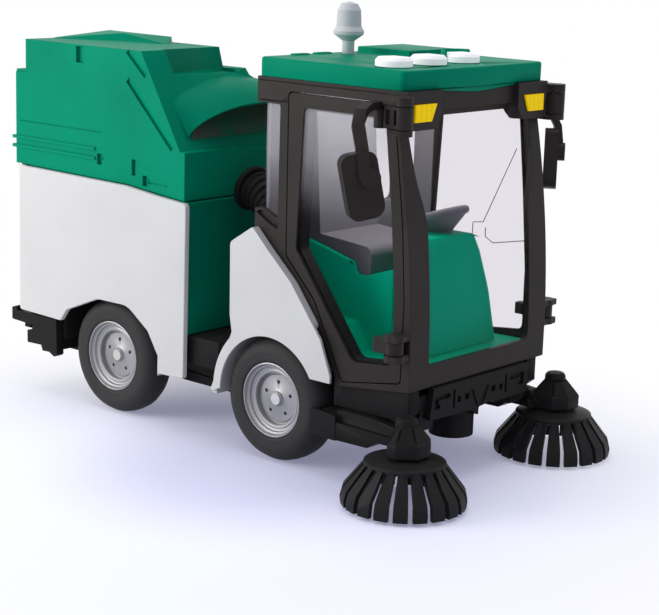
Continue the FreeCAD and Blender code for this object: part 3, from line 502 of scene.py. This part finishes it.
def hopper_shell():
    """The tipping body: mould draft steps, a finger slot, a lid line and small pockets on its sides."""
    cutters = bmesh.new()
    skin = HOPPER_HALF
    for side in (-1, 1):
        draft_step(cutters, ((38.9, 125.9), (10.1, 153.7)), 3.2, side, skin, 1.3)
        groove(cutters, -62.6, -5.6, 129.4, 129.9, side, skin, 0.4)
        groove(cutters, -8.9, -5.7, 115.0, 119.9, side, skin, 1.6)
        groove(cutters, 14.1, 16.5, 112.6, 119.8, side, skin, 1.6)
        groove(cutters, 21.2, 24.2, 108.8, 113.4, side, skin, 1.6)
        if side < 0:
            draft_step(cutters, ((21.8, 156.2), (10.0, 166.3)), 3.2, side, skin, 1.3)
            groove(cutters, -23.3, -18.1, 159.7, 167.0, side, skin, 1.7)
            groove(cutters, -66.2, -58.6, 152.4, 153.8, side, skin, 0.5)
    piece("hopper_moulding", carved(copied("hopper_shell"), cutters), "hopper", "green_abs", ["hopper_shell"],
          smooth_deg=10)
    catches = bmesh.new()
    for side in (-1, 1):
        for x, z, long, high in ((-5.9, 117.9, 1.6, 1.2), (24.6, 111.5, 1.6, 1.4), (31.0, 110.4, 11.0, 0.7)):
            slab(catches, [(x - long / 2, z - high / 2, 0.25), (x + long / 2, z - high / 2, 0.25),
                           (x + long / 2, z + high / 2, 0.25), (x - long / 2, z + high / 2, 0.25)],
                 *sorted((side * 46.8, side * 48.5)), along_y)
    piece("hopper_side_catches", catches, "hopper", "green_abs", round_mm=0.15)


# the hopper's sloping front: where it starts at the top, and how far forward it runs for each unit down
SLOPE_TOP_X, SLOPE_TOP_Z, SLOPE_RUN = 19.6, 167.8, 25.0 / 41.4


def slope_x(z):
    """Where the sloping front of the hopper is at a height."""
    return SLOPE_TOP_X + (SLOPE_TOP_Z - z) * SLOPE_RUN


HOOD_WALL = 1.4
MOUTH_FOOT_Z = 131.0


def arch(share):
    """The mouth's height, 1 in its middle and 0 at its ends: flat over the middle and steep at the ends."""
    return (1 - abs(share) ** 2.6) ** 0.695


def air_scoop():
    """The bulged hood over the air inlet, open forward, with its mouth in shade."""
    across, along = 40, 16

    def skin(s, t, inset):
        """A point of the hood: s goes across from -1 to 1, t from the back edge to the lip of the mouth."""
        flat = abs(s)
        z_back = 146.8 + 8.8 * (1 - flat ** 1.75)
        back = Vector((slope_x(z_back) - 0.3, 41.5 * s - 0.5, z_back))
        lip = Vector((41.8 + 10.0 * (1 - flat ** 2.4), 40.0 * s - 1.0, MOUTH_FOOT_Z + 15 * arch(s)))
        bulge = math.sin(math.pi * t) * 2.2 * (1 - flat ** 4)
        point = back.lerp(lip, t) + Vector((0.5, 0, 0.85)) * bulge
        return point - Vector((0.75, 0, 0.66)) * inset * (1 - flat ** 6)

    shell = bmesh.new()
    rows = [[skin(-1 + 2 * k / across, t / along, 0.0) for k in range(across + 1)] for t in range(along + 1)]
    rows += [[skin(-1 + 2 * k / across, t / along, HOOD_WALL) for k in range(across + 1)]
             for t in range(along, along // 3, -1)]
    skinned(shell, rows, caps=False, ring_closed=False)
    piece("air_scoop_hood", shell, "hopper", "green_abs", ["hopper_scoop"], smooth_deg=50)
    backing = bmesh.new()
    steps = 24
    outline = [(37.8 * s - 1, MOUTH_FOOT_Z - 0.2 + 14.2 * arch(s))
               for s in [-1 + 2 * k / steps for k in range(steps + 1)]]
    skinned(backing, [[(slope_x(z) + lift, y, z) for y, z in outline] for lift in (0.02, 0.35)])
    piece("air_scoop_mouth_floor", backing, "hopper", "green_abs", finish=recess_shade)


BUMPER_BACK_X, BUMPER_FACE_X = 172.4, 175.4
# the floor of the pockets in the bumper, and the top of its two ribs
POCKET_X, RIB_X = 174.0, 176.1


def bumper_plate():
    """The front bumper: a plate with the same plain pockets, slots and holes on both sides of its middle."""
    plate = bmesh.new()
    outline = [(-33.8, 44, 1), (-33.8, 31.0, 1), (-7, 30.2), (-4, 29.6), (-4, 27.4, 0.4), (-0.7, 27.4, 0.4),
               (-0.7, 30.6), (8, 31.6), (10, 30.6), (33.8, 31.0, 1), (33.8, 44, 1)]
    slab(plate, outline, BUMPER_BACK_X, BUMPER_FACE_X, along_x)
    pockets = bmesh.new()
    hook = [(31.0, 35.0), (27.2, 35.0), (27.2, 36.6), (28.4, 36.6), (28.4, 38.4), (20.8, 38.4), (20.8, 40.4),
            (31.0, 40.4)]
    for side in (-1, 1):
        slab(pockets, [(side * y, z) for y, z in hook], POCKET_X, BUMPER_FACE_X + 2.6, along_x)
        for y0, y1, z0, z1 in ((17.4, 18.6, 33.6, 41.3), (13.5, 15.5, 35.3, 37.8), (7.8, 10.5, 35.5, 38.0)):
            block(pockets, POCKET_X, BUMPER_FACE_X + 2.6, *sorted((side * y0, side * y1)), z0, z1)
    plate = carved(plate, pockets)
    for side in (-1, 1):
        slab(plate, [(side * y, z) for y, z in ((6.0, 39.0), (5.0, 39.0), (1.0, 31.4), (2.0, 31.4))],
             BUMPER_FACE_X - 0.1, RIB_X, along_x)
    return plate


def cab_mouldings():
    """The cab's hard parts, all but the frame with real rounded edges, and the parting lines of the side rail.
    """
    cutters = bmesh.new()
    for side in (-1, 1):
        groove(cutters, 90.0, 158.0, 161.1, 161.5, side, CAB_HALF, 0.5)
        groove(cutters, 90.0, 106.0, 153.1, 153.5, side, CAB_HALF, 0.5)
    piece("cab_frame_moulding", carved(copied("cab_frame"), cutters), "truck", "charcoal_abs", ["cab_frame"],
          smooth_deg=14)
    piece("cab_roof_moulding", copied("cab_roof"), "truck", "green_abs", ["cab_roof"], round_mm=0.5)
    piece("footwell_moulding", copied("cab_tub"), "truck", "green_abs", ["cab_tub"], footwell_abs_with_painted_light, 0.5)
    piece("dashboard_moulding", copied("console"), "truck", "green_abs", ["console"], footwell_abs_with_painted_light, 0.9)
    for hand, side in SIDES:
        panel = bmesh.new()
        outline = [(-63.3, 108.9, 1), (-61.6, 39.2, 1.5), (-31.9, 38.6, 2), (-27.5, 44.6, 4), (-6.2, 53.2, 12),
                   (13.8, 53.4, 12), (27.4, 44.2, 5), (34.0, 34.0, 3), (35.0, 23.8, 1), (50.6, 26.7, 1.5),
                   (50.9, 104.4, 2), (31.9, 105.9, 6), (12.3, 107.9, 20)]
        slab(panel, outline, *sorted((side * PANEL_HALF, side * (PANEL_HALF - 2.7))), along_y, 8)
        piece(f"rear_panel_{hand}_moulding", panel, "truck", "white_abs", [f"rear_panel_{hand}"], round_mm=0.6)
        lining = bmesh.new()
        slab(lining, [(100.6, 96), (111.2, 96), (111.2, 151.8), (100.6, 151.8)],
             *sorted((side * 44.4, side * 43.8)), along_y)
        piece(f"cab_{hand}_post_lining", lining, "truck", "grey_abs")
        piece(f"brush_arm_{hand}_moulding", copied(f"brush_arm_{hand}"), "truck", "black_pp",
              [f"brush_arm_{hand}"], round_mm=0.4)
        piece(f"side_brush_{hand}_moulding", copied(f"side_brush_{hand}"), f"brush_{hand}_body", "bristle_pp",
              [f"side_brush_{hand}"], round_mm=0.25)
    piece("front_bumper_moulding", bumper_plate(), "truck", "black_pp", ["front_bumper"], round_mm=0.15,
          smooth_deg=20)
    piece("lower_tub_moulding", copied("lower_tub"), "truck", "dark_green_abs", ["lower_tub"], round_mm=0.4)
    piece("chassis_moulding", copied("chassis"), "truck", "black_pp", ["chassis"], round_mm=0.3)


# ---------------------------------------------------------------- wheels

# the five holes in each rim: their number, their radius and the radius of the circle they stand on
PIT_COUNT, PIT_R, PIT_CIRCLE_R = 5, 0.85, 7.2


def wheels():
    """Soft tyres with rounded shoulders on stepped silver rims with a sunk disc and a domed cap."""
    for end, x, outer in (("front", WHEELBASE, 48.6), ("rear", 0.0, 47.2)):
        width = outer - TYRE_INNER_Y
        face = width - 0.8
        for hand, side in SIDES:
            centre, outward = (x, side * TYRE_INNER_Y, TYRE_R), (0, side, 0)
            # both profiles give a radius and the distance out from the wheel's inner face
            half = [(16.2, width - 1.2), (17.5, width - 0.4), (18.1, width - 0.55), (20, width),
                    (23, width - 0.5), (25.3, width - 2.2), (26.6, width - 4.6), (TYRE_R, width - 7.5)]
            profile = half + [(radius, width - height) for radius, height in reversed(half)]
            tyre = bmesh.new()
            turned(tyre, profile, centre, outward, 128, loop=True)
            piece(f"{end}_tyre_{hand}_moulding", tyre, f"{end}_wheels", "tyre_vinyl", [f"{end}_tyre_{hand}"],
                  smooth_deg=60)
            rings = [(0, face - 2.8), (1.2, face - 2.9), (2.2, face - 3.2), (2.9, face - 3.8), (3.1, face - 4.4),
                     (3.4, face - 4.55), (10.2, face - 4.75), (10.5, face - 5.2), (11.1, face - 5.2),
                     (11.35, face - 3.0), (11.6, face - 2.75), (12.5, face - 2.6), (13.0, face - 2.9),
                     (13.8, face - 2.7), (14.0, face - 1.9), (14.2, face - 1.65), (14.8, face - 1.5),
                     (15.05, face - 1.2), (15.2, face - 0.9), (15.45, face - 0.1), (15.7, face + 0.05),
                     (16.15, face - 0.1), (16.15, 1.0), (0, 1.0)]
            rim = bmesh.new()
            turned(rim, rings, centre, outward, 128)
            pits = bmesh.new()
            for k in range(PIT_COUNT):
                angle = math.radians(90 + 360 // PIT_COUNT * k)
                foot = Vector(centre) + Vector((math.cos(angle), 0, math.sin(angle))) * PIT_CIRCLE_R
                turned(pits, [(0, face - 6.4), (PIT_R, face - 6.4), (PIT_R, face - 3.5), (0, face - 3.5)],
                       foot, outward, 20)
            piece(f"{end}_rim_{hand}_moulding", carved(rim, pits), f"{end}_wheels", "rim_silver",
                  [f"{end}_rim_{hand}"], smooth_deg=30)


# ---------------------------------------------------------------- suction hose

# the hose between its ribs, and the ribs' height and spacing
HOSE_R, RIB_HEIGHT, RIB_PITCH = 7.7, 1.1, 3.5


def suction_duct():
    """The corrugated elbow behind the cab, with its round collar towards the hopper."""
    path = smooth_path([(54.0, -12.0, 108.6), (58.5, -12.6, 107.6), (63.5, -13.2, 105.6), (68.9, -14.0, 102.4),
                        (74.6, -15.4, 97.6), (80.6, -16.7, 91.6), (88.5, -17.9, 83.4)], 26)

    def ribbed(share, along):
        wave = max(0.0, math.cos(2 * math.pi * along / RIB_PITCH)) ** 0.8
        radius = HOSE_R + RIB_HEIGHT * wave
        return [(radius * math.cos(a), radius * math.sin(a)) for a in [2 * math.pi * k / 56 for k in range(56)]]

    duct = bmesh.new()
    tube(duct, path, ribbed)
    collar = [(7.6, 0.0), (9.6, 0.0), (10.2, 0.6), (10.2, 2.0), (9.6, 2.6), (7.4, 2.6)]
    turned(duct, collar, (53.2, -12, 108.8), (1, -0.12, -0.22), 72)
    piece("suction_hose_elbow", duct, "truck", "black_pp", ["suction_hose"], smooth_deg=50)


# ---------------------------------------------------------------- glazing and underside

PANE_Y = 45.0
REVEAL_WIDTH = 1.0
# how far in the black window reveal reaches: it is deeper on the right door
REVEAL_INNER_Y = {"right": 39.4, "left": 43.4}


def door_glazing():
    """A black ring round each door window: the window's reveal, seen edge-on through the pane and coloured black
    as painted shade; and the far pane's moulded lines.
    """
    window = [(114.6, 151.9, 2), (112.0, 93.4, 4), (144.6, 51.6, 5), (164.9, 54.0, 3), (165.0, 81), (162.0, 115),
              (157.2, 151.9, 2)]
    middle = Vector((140, 104))
    for hand, side in SIDES:
        shaded_reveal = bmesh.new()
        outer = rounded(window, 6)
        inner = [tuple(Vector(p) + (middle - Vector(p)).normalized() * REVEAL_WIDTH) for p in outer]
        depths = [side * PANE_Y, side * REVEAL_INNER_Y[hand]]
        rings = [[(x, y, z) for x, z in ring] for ring, y in
                 ((outer, depths[0]), (outer, depths[1]), (inner, depths[1]), (inner, depths[0]))]
        skinned(shaded_reveal, rings, caps=False, loop=True)
        piece(f"door_{hand}_window_reveal_painted_shade", shaded_reveal, f"door_{hand}_body", "black_pp")
    lines = bmesh.new()
    for path in (((155.6, 132.8), (139.9, 98.8)), ((145.7, 90.2), (163.6, 93.8)), ((139.9, 98.8), (134.4, 98.0)),
                 ((134.4, 98.0), (134.2, 92.6)), ((145.7, 90.2), (141.4, 92.4)), ((141.4, 92.4), (141.2, 96.4))):
        tube(lines, [(x, PANE_Y, z) for x, z in path], round_section(0.2, 8))
    piece("far_door_pane_lines", lines, "door_left_body", "clear_pc", finish=grey_abs)


def underside():
    """The battery cover under the chassis with its screws, and the four screws that close the body."""
    cover = bmesh.new()
    slab(cover, [(24, -15, 2), (78, -15, 2), (78, 15, 2), (24, 15, 2)], CHASSIS_BOTTOM - 0.6,
         CHASSIS_BOTTOM + 0.1, along_z)
    piece("battery_cover", cover, "truck", "black_pp", round_mm=0.25)
    heads = bmesh.new()
    for x, y in ((28, 0), (74, 0), (12, -18), (12, 18), (86, -18), (86, 18)):
        turned(heads, [(0, 0.2), (0.9, 0.2), (1.1, 0.0), (2.0, 0.1), (2.3, 0.5), (2.3, 1.2), (0, 1.2)],
               (x, y, CHASSIS_BOTTOM - 1.0), (0, 0, 1), 28)
    piece("underside_screw_heads", heads, "truck", "steel")


hopper_shell()
air_scoop()
cab_mouldings()
wheels()
suction_duct()
door_glazing()
underside()
# the near door pane and the side glass get the glazing with the painted reflection
for node, finish in (("door_glass_right", glazing_with_painted_glare), ("side_glass", glazing_with_painted_glare),
                     ("steering_wheel", grey_abs)):
    nodes[node].data.materials.clear()
    nodes[node].data.materials.append(finish)


# ---------------------------------------------------------------- stage and light

def lamp(name, place, aim, size_mm, watts, colour):
    """A square soft box at place, pointing at aim."""
    data = bpy.data.lights.new(name, "AREA")
    data.shape = "SQUARE"
    data.size = size_mm * MM
    data.energy = watts
    data.color = linear(colour)[:3]
    made = bpy.data.objects.new(name, data)
    made.location = place
    made.rotation_euler = (aim - place).to_track_quat("-Z", "Y").to_euler()
    scene.collection.objects.link(made)
    return made


# wide soft boxes: the main one from the right, one from above and a weak cool one from ahead
MIDDLE = at(70, 0, 70)
lamp("side_soft_box", at(-420, -640, 300), MIDDLE, 520, 4.4, "#FFFDF8")
lamp("top_soft_box", at(60, -60, 1000), MIDDLE, 760, 3.2, "#FFFFFF")
lamp("front_soft_box", at(960, 200, 380), MIDDLE, 600, 0.55, "#FAFBFF")
# light that comes down through the clear cab on to the seat and footwell
lamp("cab_fill_card", at(128, 2, 159), at(128, 0, 60), 56, 0.055, "#FFFFFF")


def seen_by_eye(tree):
    """1 for camera, glossy and transmission rays, 0 for light bouncing on its way."""
    rays = add(tree, "LightPath")
    seen = add(tree, "Math", {"operation": "MAXIMUM"},
               {0: rays.outputs["Is Camera Ray"], 1: rays.outputs["Is Glossy Ray"]})
    return add(tree, "Math", {"operation": "MAXIMUM"},
               {0: seen.outputs[0], 1: rays.outputs["Is Transmission Ray"]})


world = bpy.data.worlds.new("studio")
scene.world = world
world.use_nodes = True
sky = world.node_tree
sky.nodes.clear()
# a dim cool dome lights the truck, and plain white is what the eye, gloss and glass see of it
ambient = add(sky, "Background", {"Color": linear("#E4E9FF"), "Strength": 0.42})
white = add(sky, "Background", {"Color": linear("#FFFFFF"), "Strength": 1.0})
both = add(sky, "MixShader", {}, {0: seen_by_eye(sky).outputs[0], 1: ambient.outputs[0], 2: white.outputs[0]})
add(sky, "OutputWorld", links={"Surface": both.outputs[0]})

# white card under the truck that goes over into plain white away from it, with a painted shadow, darker and
# bluer, round its middle under the truck
FLOOR_HALF = 6.0  # metres
# distances from the middle of the card: its painted shadow lightens to near white, and its own light and shade
# fade out
SHADOW_NEAR_MM, SHADOW_FAR_MM = 30, 105
CARD_CLEAR_MM, CARD_END_MM = 80, 260
CARD_MIDDLE_MM = (40, -60)
floor_mesh = bpy.data.meshes.new("floor")
floor_mesh.from_pydata([(x * FLOOR_HALF, y * FLOOR_HALF, 0) for x, y in ((-1, -1), (1, -1), (1, 1), (-1, 1))],
                       [], [(0, 1, 2, 3)])
floor = bpy.data.objects.new("floor", floor_mesh)
scene.collection.objects.link(floor)
paper, tree = fresh("matt_white_card_with_painted_shadow")
place = add(tree, "TexCoord")
centred = add(tree, "VectorMath", {"operation": "ADD", 1: [-offset * MM for offset in (*CARD_MIDDLE_MM, 0)]},
              {0: place.outputs["Object"]})
span = add(tree, "VectorMath", {"operation": "LENGTH"}, {0: centred.outputs[0]})
away = add(tree, "MapRange", {"interpolation_type": "SMOOTHSTEP", 1: CARD_CLEAR_MM * MM, 2: CARD_END_MM * MM},
           {0: span.outputs["Value"]})
shadow_reach = add(tree, "MapRange", {"interpolation_type": "SMOOTHSTEP", 1: SHADOW_NEAR_MM * MM, 2: SHADOW_FAR_MM * MM},
            {0: span.outputs["Value"]})
# painted shadow: the card is darker and bluer near its middle, under the truck
painted_shadow_tone = add(tree, "Mix", {"data_type": "RGBA", 6: linear("#CFCFDF"), 7: linear("#F2F2F7")},
                 {0: shadow_reach.outputs[0]})
card = add(tree, "BsdfDiffuse", {}, {"Color": painted_shadow_tone.outputs[2]})
# the card's own faint glow is only for the eye, so it softens the shadow and puts no light on the truck
glow = add(tree, "Emission", {"Color": linear("#A9A9C6"), "Strength": 0.5})
seen = seen_by_eye(tree)
lift = add(tree, "MixShader", {}, {0: seen.outputs[0]})
dark = add(tree, "Emission", {"Strength": 0.0})
tree.links.new(dark.outputs[0], lift.inputs[1])
tree.links.new(glow.outputs[0], lift.inputs[2])
near = add(tree, "AddShader", {}, {0: card.outputs[0], 1: lift.outputs[0]})
plain = add(tree, "Emission", {"Color": linear("#FFFFFF"), "Strength": 1.0})
fade = add(tree, "Math", {"operation": "MULTIPLY"}, {0: seen.outputs[0], 1: away.outputs[0]})
whole_card = add(tree, "MixShader", {}, {0: fade.outputs[0], 1: near.outputs[0], 2: plain.outputs[0]})
finish_material(tree, whole_card)
floor_mesh.materials.append(paper)
